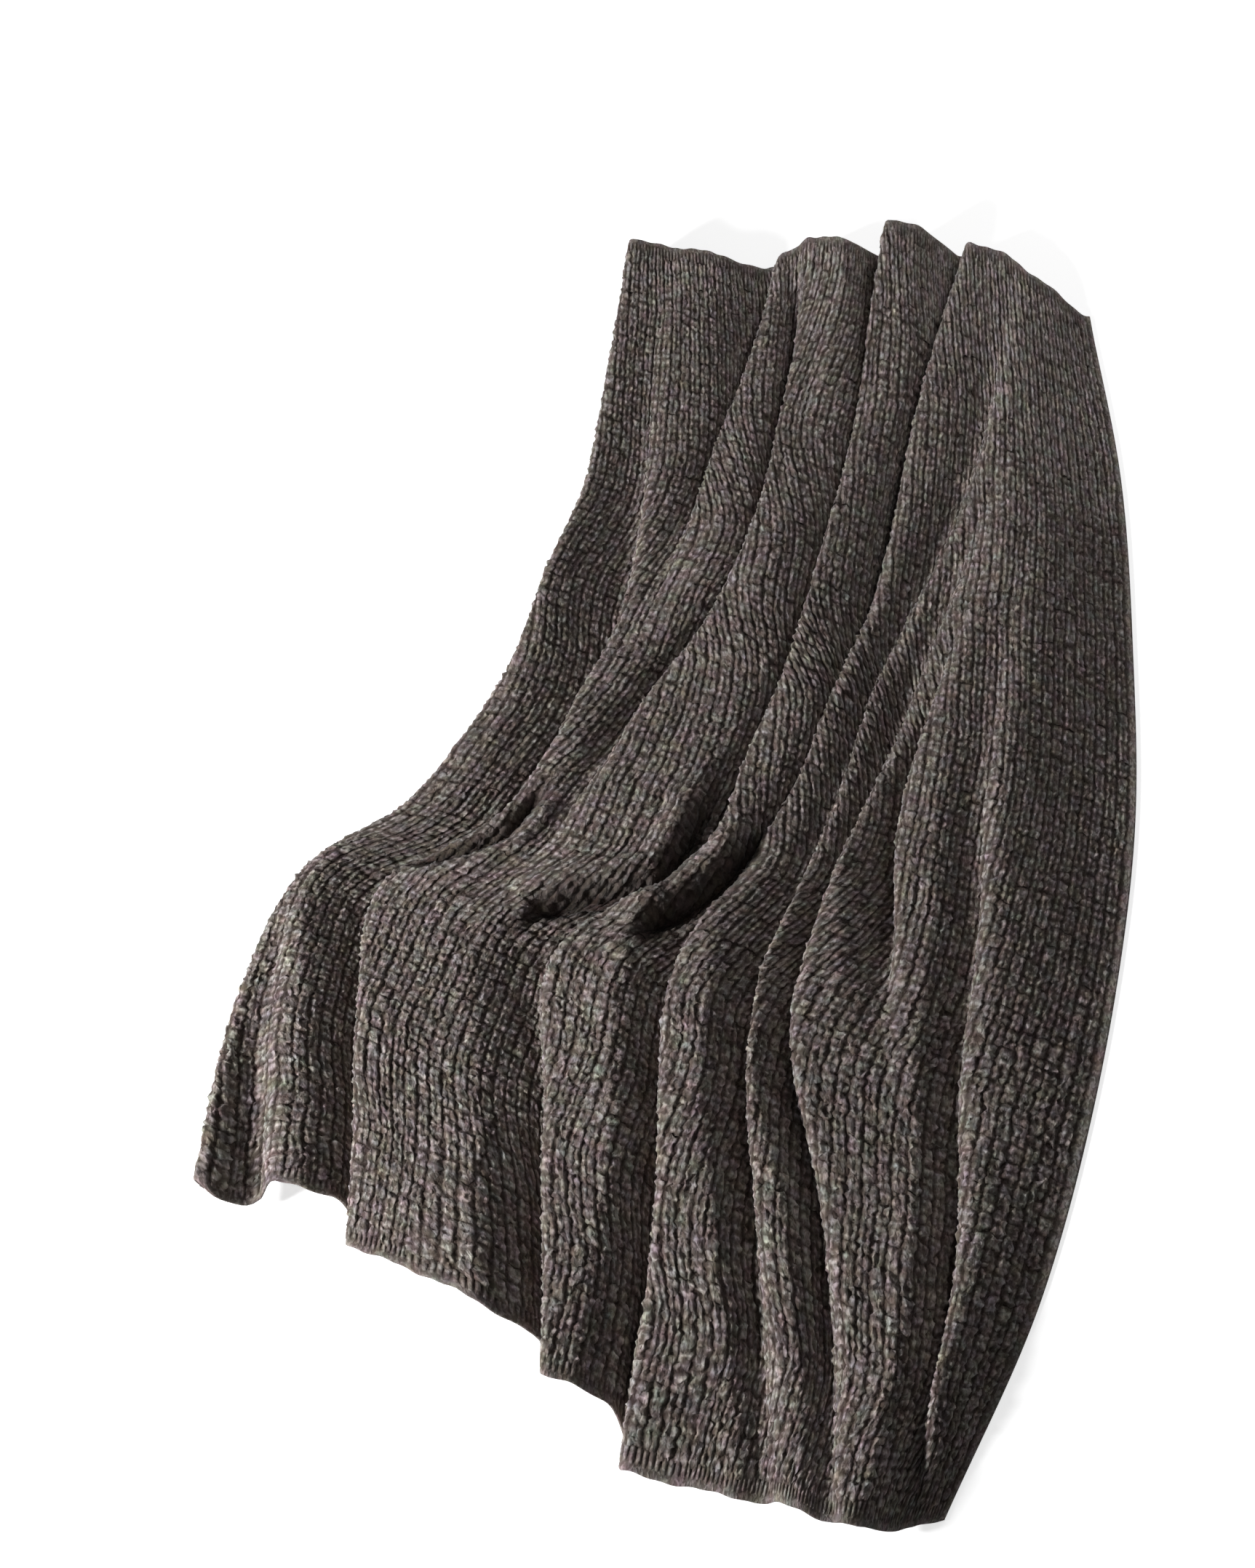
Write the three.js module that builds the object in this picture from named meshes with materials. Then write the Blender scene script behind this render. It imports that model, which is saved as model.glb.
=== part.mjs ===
// A seersucker throw blanket: one length of thick puckered cotton cloth, laid out on a flat surface.
// Its top end is gathered, its hem is spread, and loose folds run down it between the two.
// Millimetres, +Z up. X runs across the blanket, Y from its hem to its gathered top.
// The origin is on the surface that it lies on, in the middle of the blanket's outline.

import * as THREE from 'three';

// The cloth as it was cut, and how thick it is with its puckers pressed down.
const CLOTH_WIDTH = 1270;
const THICKNESS = 4;

// Middle of the laid-out outline, in the frame of the two edge tables.
const MIDDLE = { x: 60.6, y: -67.9 };

// Stations down the cloth, as a share of its length from the gathered top to the hem.
const STATIONS = [
  { name: 'top', along: 0.0 },
  { name: 'neck', along: 0.15 },
  { name: 'back', along: 0.3 },
  { name: 'waist', along: 0.45 },
  { name: 'seat', along: 0.58 },
  { name: 'bend', along: 0.68 },
  { name: 'skirt', along: 0.82 },
  { name: 'hem', along: 1.0 },
];

// Where the two selvedges lie at each station, how far the folds lean to the left for each
// millimetre of their height, and how much of the cloth's width shows, because the puckers crowd
// together where the cloth is gathered.
const LAY = {
  leftX: [11, -20, -58, -132, -236, -345, -425, -470],
  leftY: [680, 487, 295, 115, -30, -108, -249, -488],
  rightX: [557, 582, 583, 572, 540, 504, 441, 328],
  rightY: [605, 387, 166, -56, -246, -395, -591, -825],
  lean: [0.6, 0.64, 0.7, 0.74, 0.72, 0.66, 0.56, 0.42],
  shows: [0.64, 0.76, 0.87, 0.95, 1, 1, 1, 0.94],
};

// The troughs between the folds, left to right. across: place in the row, as a share of the row's
// width at each station. deep: 1 where the cloth touches the surface, 0 where the trough has died
// out. fall: width of the shaded side that falls into it, at the top and at the hem. slip: how far
// the cloth has slid up the blanket, at the top, and at the hem before and after the trough.
const TROUGHS = [
  {
    across: [0.05, 0.05, 0.05, 0.05, 0.05, 0.03, 0.05, 0.085],
    deep: [0, 0, 0, 0, 0, 0.1, 0.3, 0.6], fall: [30, 30], slip: [0, 5, 40],
  },
  {
    across: [0.12, 0.11, 0.12, 0.135, 0.14, 0.105, 0.15, 0.2],
    deep: [0.15, 0.25, 0.6, 0.9, 1, 0.75, 0.9, 1], fall: [50, 50], slip: [0, 70, 16],
  },
  {
    across: [0.31, 0.252, 0.204, 0.19, 0.2, 0.2, 0.25, 0.3],
    deep: [0.7, 0.9, 0.25, 0, 0, 0, 0, 0], fall: [40, 40], slip: [20, 16, 16],
  },
  {
    across: [0.37, 0.346, 0.327, 0.235, 0.25, 0.25, 0.3, 0.35],
    deep: [0.35, 0.95, 0.9, 0.6, 0.1, 0, 0, 0], fall: [25, 50], slip: [40, 16, 16],
  },
  {
    across: [0.555, 0.495, 0.468, 0.42, 0.403, 0.325, 0.388, 0.495],
    deep: [0.95, 1, 1, 1, 0.85, 0.9, 1, 1], fall: [28, 75], slip: [65, 8, -36],
  },
  {
    across: [0.712, 0.594, 0.548, 0.503, 0.472, 0.472, 0.542, 0.614],
    deep: [0.9, 1, 1, 1, 0.95, 0.9, 1, 1], fall: [25, 50], slip: [60, -25, -95],
  },
  {
    across: [0.84, 0.742, 0.63, 0.56, 0.553, 0.583, 0.662, 0.81],
    deep: [0.1, 0.45, 0.5, 0.55, 0.7, 0.8, 0.8, 0.25], fall: [65, 24], slip: [45, -65, -60],
  },
  {
    across: [0.88, 0.8, 0.69, 0.607, 0.596, 0.63, 0.742, 0.895],
    deep: [0, 0, 0.4, 0.9, 1, 0.8, 0.85, 0.2], fall: [30, 26], slip: [30, -55, -55],
  },
  {
    across: [0.92, 0.84, 0.74, 0.667, 0.7, 0.76, 0.82, 0.93],
    deep: [0, 0, 0.1, 0.7, 0.65, 0.1, 0, 0], fall: [40, 40], slip: [20, -50, -50],
  },
  {
    across: [0.96, 0.88, 0.82, 0.8, 0.82, 0.835, 0.895, 0.965],
    deep: [0, 0, 0.1, 0.2, 0.5, 0.8, 1, 0.6], fall: [40, 26], slip: [0, -30, -15],
  },
];
const LEFT_EDGE = { fall: [40, 40], slip: [0, 20, 20] };
const RIGHT_EDGE = { fall: [130, 90], slip: [0, 0, 0] };
const SLIP = { before: 26, over: 56, topEnds: 0.35, hemStarts: 0.62, topPower: 1.5, hemPower: 1.3 };

// The cloth lies flat for this far on each side of a trough's middle.
const HALF_STRIP = 5;

// A fold climbs steeply on its left, and on its right it breaks over a ridge and falls into the
// next trough. Its top slopes a little towards that trough too. Each is eased at its foot by ease
// and turns over at its head by round.
const RISE = { share: 0.3, least: 20, most: 34, ease: 0.22, round: 2 };
const FALL = { share: 0.62, least: 20, ease: 0.1, round: 1.25 };
const SLOPE = { share: 1, least: 60, most: 200, ease: 0.5, round: 1.6, part: 0.2 };

// Slow waves that make some crests stand higher than others.
const CREST_WAVES = [
  { height: 0.14, down: 1.3, across: 2.1, phase: 0 },
  { height: 0.1, down: 2.9, across: -1.7, phase: 1 },
  { height: 0.05, down: 5.3, across: 3.1, phase: 2 },
];

// How finely the folds are cut into facets.
const ROWS = 25;
const FINE_STEPS = 1600;
const HALVINGS = 34;
const STRIP_EDGE = 3.5;
const RISE_STOPS = [0.16, 0.45, 1];
const LEAST_CLIMB = 10;
const LEAST_TOP = 0.35;
const LEAST_MITRE = 0.4;

const clamp = (value, low, high) => Math.min(high, Math.max(low, value));
const clamp01 = (value) => clamp(value, 0, 1);
const smooth = (t) => t * t * (3 - 2 * t);

// A smooth curve through one value for each station.
function alongStations(v, values) {
  const last = STATIONS.length - 1;
  let i = 0;
  while (i < last - 1 && v > STATIONS[i + 1].along) i += 1;
  const gap = (k) => STATIONS[k + 1].along - STATIONS[k].along;
  const slope = (k) => (values[k + 1] - values[k]) / gap(k);
  const tangent = (k) => {
    if (k === 0) return slope(0);
    if (k === last) return slope(last - 1);
    return (slope(k - 1) * gap(k) + slope(k) * gap(k - 1)) / (gap(k) + gap(k - 1));
  };
  const t = (v - STATIONS[i].along) / gap(i);
  return (1 + 2 * t) * (1 - t) ** 2 * values[i] + t * (1 - t) ** 2 * gap(i) * tangent(i)
    + t * t * (3 - 2 * t) * values[i + 1] + t * t * (t - 1) * gap(i) * tangent(i + 1);
}

// Rises from 0 to 1: eased where it leaves the surface, and round at the crest.
function climb(distance, over, { ease, round }) {
  const s = clamp01((distance - HALF_STRIP) / (over - HALF_STRIP));
  const eased = clamp01((s * s * (1 + ease)) / (s + ease));
  return 1 - (1 - eased) ** round;
}

// A trough in one row: its place, its depth, its side's width, and the slip on each side of it.
function troughInRow(trough, at, deep, v) {
  const [fallTop, fallHem] = trough.fall;
  const [slipTop, slipBefore, slipAfter] = trough.slip;
  return { at, deep, widest: fallTop + (fallHem - fallTop) * v, slipTop, slipBefore, slipAfter };
}

// What one row across the blanket is made from: its ends, its troughs and their reach.
function makeRow(v) {
  const left = new THREE.Vector2(alongStations(v, LAY.leftX), alongStations(v, LAY.leftY));
  const right = new THREE.Vector2(alongStations(v, LAY.rightX), alongStations(v, LAY.rightY));
  const width = left.distanceTo(right);
  const troughs = [
    troughInRow(LEFT_EDGE, 0, 1, v),
    ...TROUGHS.map((trough) => troughInRow(
      trough, alongStations(v, trough.across) * width, clamp01(alongStations(v, trough.deep)), v)),
    troughInRow(RIGHT_EDGE, width, 1, v),
  ];
  // A fold reaches past a trough as far as that trough has died out.
  let reach = 0;
  troughs.forEach((trough, j) => {
    const before = troughs[j - 1];
    reach = j ? trough.at - before.at + (1 - before.deep) * reach : 0;
    trough.fall = Math.min(trough.widest, Math.max(FALL.least, FALL.share * reach));
    trough.slope = clamp(SLOPE.share * reach, SLOPE.least, SLOPE.most);
  });
  reach = 0;
  for (let j = troughs.length - 1; j >= 0; j -= 1) {
    const after = troughs[j + 1];
    reach = after ? after.at - troughs[j].at + (1 - after.deep) * reach : 0;
    troughs[j].rise = clamp(RISE.share * reach, RISE.least, RISE.most);
  }
  const row = { v, left, width, troughs, lean: alongStations(v, LAY.lean) };
  row.direction = right.clone().sub(left).normalize();
  row.height = foldHeight(row);
  return row;
}

// Height of the cloth at a place in the row, for folds that are 1 high.
function unitHeight(row, x) {
  let z = 1;
  for (const wave of CREST_WAVES) {
    const turns = wave.down * row.v + (wave.across * x) / row.width;
    z += wave.height * Math.sin(2 * Math.PI * turns + wave.phase);
  }
  for (const { at, deep, fall, slope, rise } of row.troughs) {
    const up = x < at
      ? climb(at - x, fall, FALL) * (1 - SLOPE.part) + climb(at - x, slope, SLOPE) * SLOPE.part
      : climb(x - at, rise, RISE);
    z *= 1 - deep * (1 - up);
  }
  return z;
}

// The folds stand as high as it takes to use up the cloth that shows in the row.
function foldHeight(row) {
  const cloth = CLOTH_WIDTH * alongStations(row.v, LAY.shows);
  const heights = [];
  for (let k = 0; k <= FINE_STEPS; k += 1) heights.push(unitHeight(row, (row.width * k) / FINE_STEPS));
  const step = row.width / FINE_STEPS;
  const lengthAt = (height) => {
    let length = 0;
    for (let k = 1; k <= FINE_STEPS; k += 1) {
      const dz = (heights[k] - heights[k - 1]) * height;
      length += Math.hypot(step - row.lean * dz, dz);
    }
    return length;
  };
  let low = 0;
  let high = 200;
  for (let n = 0; n < HALVINGS; n += 1) {
    const middle = (low + high) / 2;
    if (lengthAt(middle) > cloth) high = middle;
    else low = middle;
  }
  return (low + high) / 2;
}

// How far the cloth has slid up or down the blanket at a place in the row.
function slipAt(row, x) {
  const topFade = clamp01(1 - row.v / SLIP.topEnds) ** SLIP.topPower;
  const hemFade = clamp01((row.v - SLIP.hemStarts) / (1 - SLIP.hemStarts)) ** SLIP.hemPower;
  const slipAfter = (trough) => trough.slipTop * topFade + trough.slipAfter * hemFade;
  let slip = slipAfter(row.troughs[0]);
  row.troughs.slice(1).forEach((trough, k) => {
    const last = row.troughs[k];
    const before = last.slipTop * topFade + trough.slipBefore * hemFade;
    const panel = clamp01((x - last.at) / Math.max(trough.at - last.at, HALF_STRIP));
    const step = smooth(clamp01((x - trough.at + SLIP.before) / SLIP.over));
    slip += panel * (before - slipAfter(last)) + step * (slipAfter(trough) - before);
  });
  return slip;
}

// Middle of the cloth's thickness at a place in the row, in the row's own upright plane.
function middleAt(row, x) {
  const z = unitHeight(row, x) * row.height;
  return new THREE.Vector2(x - row.lean * z, z + THICKNESS / 2);
}

// From the row's upright plane to the blanket's own frame.
function toBlanket(row, point, slip) {
  return new THREE.Vector3(
    row.left.x + point.x * row.direction.x - slip * row.direction.y - MIDDLE.x,
    row.left.y + point.x * row.direction.y + slip * row.direction.x - MIDDLE.y,
    Math.max(0, point.y),
  );
}

// The way from the middle line to the upper face at each point, mitred where the line turns.
function mitres(line) {
  const turned = line.slice(1).map((point, k) => {
    const step = point.clone().sub(line[k]).normalize();
    return new THREE.Vector2(-step.y, step.x);
  });
  return line.map((_, k) => {
    const before = turned[Math.max(0, k - 1)];
    const after = turned[Math.min(turned.length - 1, k)];
    const between = before.clone().add(after).normalize();
    return between.multiplyScalar(THICKNESS / 2 / Math.max(LEAST_MITRE, between.dot(after)));
  });
}

// Places in the row where the facets meet: on a fold's steep side, its ridge and its falling side.
function columnPlaces(row) {
  const places = [0];
  for (let j = 0; j < row.troughs.length - 1; j += 1) {
    const { at: from, rise } = row.troughs[j];
    const { at: to, fall } = row.troughs[j + 1];
    const most = Math.max(LEAST_CLIMB, RISE.share * (to - from) - HALF_STRIP);
    const steep = Math.min(rise - HALF_STRIP, most);
    const climbs = RISE_STOPS.map((stop) => from + HALF_STRIP + steep * stop);
    const crest = climbs.at(-1);
    const foot = to - HALF_STRIP;
    const ridge = Math.max(to - fall, crest + (foot - crest) * LEAST_TOP);
    places.push(from + STRIP_EDGE, ...climbs, (crest + ridge) / 2, ridge, (ridge + foot) / 2);
    places.push(to - STRIP_EDGE);
  }
  places.push(row.width);
  return places;
}

// The closed sheet: an upper face, an under face and a rim, half the thickness off the middle.
function makeSheet() {
  const upper = [];
  const under = [];
  let columns = 0;
  for (let i = 0; i < ROWS; i += 1) {
    const row = makeRow(i / (ROWS - 1));
    const places = columnPlaces(row);
    const line = places.map((x) => middleAt(row, x));
    const offsets = mitres(line);
    columns = places.length;
    places.forEach((x, k) => {
      const slip = slipAt(row, x);
      upper.push(toBlanket(row, line[k].clone().add(offsets[k]), slip));
      under.push(toBlanket(row, line[k].clone().sub(offsets[k]), slip));
    });
  }

  const faces = [];
  const quad = (a, b, c, d) => faces.push(a, b, c, a, c, d);
  const top = (i, k) => i * columns + k;
  const bottom = (i, k) => ROWS * columns + i * columns + k;
  for (let i = 0; i < ROWS - 1; i += 1) {
    for (let k = 0; k < columns - 1; k += 1) {
      quad(top(i, k), top(i + 1, k), top(i + 1, k + 1), top(i, k + 1));
      quad(bottom(i, k), bottom(i, k + 1), bottom(i + 1, k + 1), bottom(i + 1, k));
    }
    quad(top(i, 0), bottom(i, 0), bottom(i + 1, 0), top(i + 1, 0));
    const k = columns - 1;
    quad(top(i, k), top(i + 1, k), bottom(i + 1, k), bottom(i, k));
  }
  for (let k = 0; k < columns - 1; k += 1) {
    const i = ROWS - 1;
    quad(top(0, k), top(0, k + 1), bottom(0, k + 1), bottom(0, k));
    quad(top(i, k), bottom(i, k), bottom(i, k + 1), top(i, k + 1));
  }

  const geometry = new THREE.BufferGeometry().setFromPoints([...upper, ...under]);
  geometry.setIndex(faces);
  geometry.computeVertexNormals();
  return geometry;
}

const cotton = new THREE.MeshStandardMaterial({ color: 0x564d49, roughness: 0.95, metalness: 0 });

const blanket = new THREE.Mesh(makeSheet(), cotton);
blanket.name = 'blanket';

const model = new THREE.Group();
model.add(blanket);

export default model;
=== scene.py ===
# %% [markdown]
# # A seersucker throw blanket
#
# A throw of puckered cotton, laid out on a floor so that loose folds run down it. The real thing
# is one length of cloth, with about 160 ribs down it. Every two ribs are the sides of one chain
# of small puckers, which the loom leaves slack between rows of tight threads. Nothing is sewn on,
# and the narrow hems are turned in the same cloth. The lesson starts as the maker does, with a
# flat rectangle, and lays it in folds.

import math

import bpy
import numpy as np
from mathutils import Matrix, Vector


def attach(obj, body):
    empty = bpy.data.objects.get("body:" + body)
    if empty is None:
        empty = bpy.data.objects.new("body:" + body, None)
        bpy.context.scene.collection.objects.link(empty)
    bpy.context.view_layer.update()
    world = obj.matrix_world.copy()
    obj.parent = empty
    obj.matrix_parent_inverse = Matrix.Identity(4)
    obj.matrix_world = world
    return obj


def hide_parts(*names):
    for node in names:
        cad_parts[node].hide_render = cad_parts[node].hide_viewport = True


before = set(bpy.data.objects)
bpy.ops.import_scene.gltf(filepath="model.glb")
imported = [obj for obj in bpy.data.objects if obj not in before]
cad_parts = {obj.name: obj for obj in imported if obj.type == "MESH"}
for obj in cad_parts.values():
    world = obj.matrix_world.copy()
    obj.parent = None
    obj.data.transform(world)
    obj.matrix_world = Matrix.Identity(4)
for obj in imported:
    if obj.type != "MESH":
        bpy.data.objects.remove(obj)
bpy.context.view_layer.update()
print("the CAD nodes are", sorted(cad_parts))

# %% [markdown]
# ## The camera
#
# The blanket lies on a floor, so the camera looks down on it, a little from the foot end. It
# stands far off with a long lens, which keeps the two ends of the cloth near the same scale.

# %% The camera
# The fold tables measure from the point that the camera looks at. This is where the frame's
# origin, the middle of the laid cloth's outline, lies in them.
EDGE_MIDDLE = Vector((0.0606, -0.0679, 0.0))
CAMERA_ELEVATION = math.radians(68)
CAMERA_DISTANCE = 3.6
FRAME_HEIGHT = 1.779
SENSOR_HEIGHT = 36


def new_object(name, data):
    """An object in the scene."""
    piece = bpy.data.objects.new(name, data)
    bpy.context.scene.collection.objects.link(piece)
    return piece


def aim(piece, at, back):
    """Places the camera or a lamp, which looks away from its back."""
    piece.location = at
    piece.rotation_euler = (-Vector(back)).to_track_quat("-Z", "Y").to_euler()


camera_data = bpy.data.cameras.new("camera")
camera_data.sensor_fit = "VERTICAL"
camera_data.sensor_height = SENSOR_HEIGHT
camera_data.lens = SENSOR_HEIGHT * CAMERA_DISTANCE / FRAME_HEIGHT
camera = new_object("camera", camera_data)
back = Vector((0, -math.cos(CAMERA_ELEVATION), math.sin(CAMERA_ELEVATION)))
aim(camera, back * CAMERA_DISTANCE - EDGE_MIDDLE, back)
bpy.context.scene.camera = camera
print("lens", round(camera_data.lens, 1), "mm")

# %% [markdown]
# ## The folds
#
# A fold in a laid cloth is a ridge between two troughs. At a trough the cloth lies on the floor.
# From there it climbs steeply to a round crest and falls away more gently to the next trough. So
# one short table of troughs says the whole lay: where each one is at eight stations down the
# cloth, how deep it is there, and how far the cloth beside it has slid.
#
# A cloth simulation makes folds too, but not where we want them. These tables, in metres, are the
# ones that the solid was built from, so the cloth lies on the solid's folds.

# %% The cloth as cut, and how it is laid
CLOTH_WIDTH = 1.27
CLOTH_LENGTH = 1.52
THICKNESS = 0.004

# Stations: top, neck, back, waist, seat, bend, skirt and hem.
STATIONS = np.array([0.0, 0.15, 0.3, 0.45, 0.58, 0.68, 0.82, 1.0])

# At each station: where the two selvedges lie, how far the folds lean left for each metre of
# height, the share of the width that shows (crowded puckers take up the rest), and how far the
# ribs are carried sideways.
LAY = {
    "left_x": [0.011, -0.02, -0.058, -0.132, -0.236, -0.345, -0.425, -0.47],
    "left_y": [0.68, 0.487, 0.295, 0.115, -0.03, -0.108, -0.249, -0.488],
    "right_x": [0.557, 0.582, 0.583, 0.572, 0.54, 0.504, 0.441, 0.328],
    "right_y": [0.605, 0.387, 0.166, -0.056, -0.246, -0.395, -0.591, -0.825],
    "lean": [0.6, 0.64, 0.7, 0.74, 0.72, 0.66, 0.56, 0.42],
    "shows": [0.64, 0.76, 0.87, 0.95, 1, 1, 1, 0.94],
    "carry": [0, 0, 0, 0, -0.02, -0.045, -0.03, 0],
}

# Troughs from left to right. Each has its place in the row and its depth at each station, where 1
# reaches the floor. Then how wide the side that falls into it is, at the top and at the hem, and
# how far the cloth has slid: at the top, and at the hem before and after the trough.
TROUGHS = [
    ([0] * 8, [1] * 8, (0.04, 0.04), (0, 0.02, 0.02)),
    ([0.05, 0.05, 0.05, 0.05, 0.05, 0.03, 0.05, 0.085], [0, 0, 0, 0, 0, 0.1, 0.3, 0.6],
     (0.03, 0.03), (0, 0.005, 0.04)),
    ([0.12, 0.11, 0.12, 0.135, 0.14, 0.105, 0.15, 0.2], [0.15, 0.25, 0.6, 0.9, 1, 0.75, 0.9, 1],
     (0.05, 0.05), (0, 0.07, 0.016)),
    ([0.31, 0.252, 0.204, 0.19, 0.2, 0.2, 0.25, 0.3], [0.7, 0.9, 0.25, 0, 0, 0, 0, 0],
     (0.04, 0.04), (0.02, 0.016, 0.016)),
    ([0.37, 0.346, 0.327, 0.235, 0.25, 0.25, 0.3, 0.35], [0.35, 0.95, 0.9, 0.6, 0.1, 0, 0, 0],
     (0.025, 0.05), (0.04, 0.016, 0.016)),
    ([0.555, 0.495, 0.468, 0.42, 0.403, 0.325, 0.388, 0.495], [0.95, 1, 1, 1, 0.85, 0.9, 1, 1],
     (0.028, 0.075), (0.065, 0.008, -0.036)),
    ([0.712, 0.594, 0.548, 0.503, 0.472, 0.472, 0.542, 0.614], [0.9, 1, 1, 1, 0.95, 0.9, 1, 1],
     (0.025, 0.05), (0.06, -0.025, -0.095)),
    ([0.84, 0.742, 0.63, 0.56, 0.553, 0.583, 0.662, 0.81], [0.1, 0.45, 0.5, 0.55, 0.7, 0.8, 0.8, 0.25],
     (0.065, 0.024), (0.045, -0.065, -0.06)),
    ([0.88, 0.8, 0.69, 0.607, 0.596, 0.63, 0.742, 0.895], [0, 0, 0.4, 0.9, 1, 0.8, 0.85, 0.2],
     (0.03, 0.026), (0.03, -0.055, -0.055)),
    ([0.92, 0.84, 0.74, 0.667, 0.7, 0.76, 0.82, 0.93], [0, 0, 0.1, 0.7, 0.65, 0.1, 0, 0],
     (0.04, 0.04), (0.02, -0.05, -0.05)),
    ([0.96, 0.88, 0.82, 0.8, 0.82, 0.835, 0.895, 0.965], [0, 0, 0.1, 0.2, 0.5, 0.8, 1, 0.6],
     (0.04, 0.026), (0, -0.03, -0.015)),
    ([1] * 8, [1] * 8, (0.13, 0.09), (0, 0, 0)),
]
# Over what width the slide changes at a trough, and how far in from the top and the hem it reaches.
SLIP = {"before": 0.026, "over": 0.056, "top_ends": 0.35, "hem_starts": 0.62,
        "top_power": 1.5, "hem_power": 1.3}

# Half of the strip that lies flat at a trough, and the curves of a fold's steep side, of the side
# that falls into the next trough, and of a long slope mixed into that one.
HALF_STRIP = 0.005
RISE = {"share": 0.3, "least": 0.02, "most": 0.034, "ease": 0.22, "round": 2.0}
FALL = {"share": 0.62, "least": 0.02, "ease": 0.1, "round": 1.25}
SLOPE = {"share": 1.0, "least": 0.06, "most": 0.2, "ease": 0.5, "round": 1.6, "part": 0.2}
# Long waves in the crests: how high, how many down and across, and where they start.
CREST_WAVES = [(0.14, 1.3, 2.1, 0), (0.1, 2.9, -1.7, 1), (0.05, 5.3, 3.1, 2)]

# Rolls that round the falling side of some folds, in the upper part of the cloth: the trough's
# number and the roll's height. Then where all of them lie, and how far they push.
ROLLS = [(3, 0.008), (4, 0.012), (5, 0.014), (6, 0.015), (7, 0.008)]
ROLL = {"aside": 0.55, "wide": 0.35, "push": 1.3, "from": 0.0, "to": 0.66, "over": 0.12}

# Small ripples along the two hems: how high, how many across, and where they start.
HEM_RIPPLES = [(0.0014, 11, 0.3), (0.0007, 29, 1.1)]
HEM_REACH = 0.03

# %% Curves through the stations, and the climb of a fold's side


def along_stations(v, values):
    """A smooth curve through one value for each station."""
    values = np.asarray(values, float)
    gaps = np.diff(STATIONS)
    slopes = np.diff(values) / gaps
    inner = (slopes[:-1] * gaps[1:] + slopes[1:] * gaps[:-1]) / (gaps[:-1] + gaps[1:])
    tangents = np.concatenate([slopes[:1], inner, slopes[-1:]])
    i = np.clip(np.searchsorted(STATIONS[1:], v), 0, len(gaps) - 1)
    t = (v - STATIONS[i]) / gaps[i]
    return (
        (1 + 2 * t) * (1 - t) ** 2 * values[i]
        + t * (1 - t) ** 2 * gaps[i] * tangents[i]
        + t * t * (3 - 2 * t) * values[i + 1]
        + t * t * (t - 1) * gaps[i] * tangents[i + 1]
    )


def smooth(t):
    """Eases from 0 to 1."""
    t = np.clip(t, 0, 1)
    return t * t * (3 - 2 * t)


def climb(distance, over, side):
    """Rises from 0 to 1: eased where it leaves the floor, and round at the crest."""
    s = np.clip(distance / over, 0, 1)
    eased = np.clip(s * s * (1 + side["ease"]) / (s + side["ease"]), 0, 1)
    return 1 - (1 - eased) ** side["round"]


# %% One row of the cloth for each value down it


def make_rows(v):
    """Each row's ends, its troughs and their sides."""
    lay = {name: along_stations(v, values) for name, values in LAY.items()}
    left = np.stack([lay["left_x"], lay["left_y"]], -1)
    right = np.stack([lay["right_x"], lay["right_y"]], -1)
    width = np.linalg.norm(right - left, axis=-1)
    places, depths, falls, slips = zip(*TROUGHS)
    at = np.stack([along_stations(v, place) for place in places], -1) * width[:, None]
    deep = np.clip(np.stack([along_stations(v, depth) for depth in depths], -1), 0, 1)

    count = len(TROUGHS)
    fall, rise, slope = np.zeros((3, *at.shape))
    reach = np.zeros(len(v))
    for j in range(count):
        if j:
            reach = at[:, j] - at[:, j - 1] + (1 - deep[:, j - 1]) * reach
        top, hem = falls[j]
        fall[:, j] = np.clip(FALL["share"] * reach, FALL["least"], top + (hem - top) * v)
        slope[:, j] = np.clip(SLOPE["share"] * reach, SLOPE["least"], SLOPE["most"])
    reach = np.zeros(len(v))
    for j in reversed(range(count)):
        if j < count - 1:
            reach = at[:, j + 1] - at[:, j] + (1 - deep[:, j + 1]) * reach
        rise[:, j] = np.clip(RISE["share"] * reach, RISE["least"], RISE["most"])

    slip_top, slip_before, slip_after = np.array(slips).T
    top_fade = np.clip(1 - v / SLIP["top_ends"], 0, 1) ** SLIP["top_power"]
    hem_fade = np.clip((v - SLIP["hem_starts"]) / (1 - SLIP["hem_starts"]), 0, 1)
    hem_fade = hem_fade ** SLIP["hem_power"]
    before = np.outer(top_fade, np.concatenate([[0], slip_top[:-1]])) + np.outer(hem_fade, slip_before)
    after = np.outer(top_fade, slip_top) + np.outer(hem_fade, slip_after)
    return {
        "v": v, "left": left, "width": width, "direction": (right - left) / width[:, None],
        "at": at, "deep": deep, "fall": fall, "rise": rise, "slope": slope,
        "before": before, "after": after, "cloth": CLOTH_WIDTH * lay["shows"],
        "lean": lay["lean"][:, None], "carry": lay["carry"][:, None],
    }


def unit_height(rows, x):
    """Height of the cloth at places across each row, for folds that are 1 high."""
    z = np.ones_like(x)
    for height, down, across, phase in CREST_WAVES:
        turns = down * rows["v"][:, None] + across * x / rows["width"][:, None]
        z += height * np.sin(2 * np.pi * turns + phase)
    for j in range(len(TROUGHS)):
        at, deep = rows["at"][:, j, None], rows["deep"][:, j, None]
        falling = climb(at - x - HALF_STRIP, rows["fall"][:, j, None] - HALF_STRIP, FALL)
        sloping = climb(at - x - HALF_STRIP, rows["slope"][:, j, None] - HALF_STRIP, SLOPE)
        falling = falling * (1 - SLOPE["part"]) + sloping * SLOPE["part"]
        rising = climb(x - at - HALF_STRIP, rows["rise"][:, j, None] - HALF_STRIP, RISE)
        z *= 1 - deep * (1 - np.where(x < at, falling, rising))
    return z


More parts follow.
